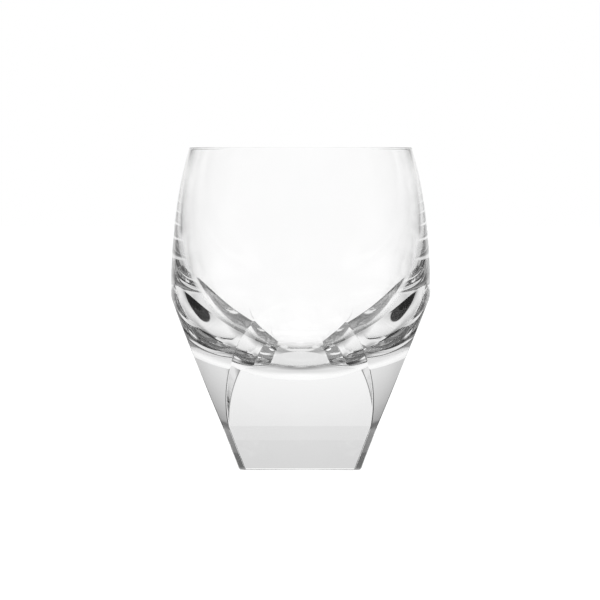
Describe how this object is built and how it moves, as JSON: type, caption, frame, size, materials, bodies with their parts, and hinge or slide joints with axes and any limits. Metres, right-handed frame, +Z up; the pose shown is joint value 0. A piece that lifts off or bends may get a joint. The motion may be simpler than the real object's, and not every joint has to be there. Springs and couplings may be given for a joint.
{
  "type": "whiskey tumbler",
  "caption": "Thick-based clear crystal drinking tumbler: round barrel-shaped bowl cut with broad arched facets down to a square foot with bevelled corners.",
  "frame": {"origin": "centre of the flat underside", "axes": "+Z up along the bowl's axis, one broad facet facing -Y and one facing +X"},
  "size_m": [0.081, 0.081, 0.1],
  "materials": {
    "crystal": "clear polished crystal"
  },
  "bodies": {
    "root": {"glass_body": "crystal"}
  },
  "joints": []
}
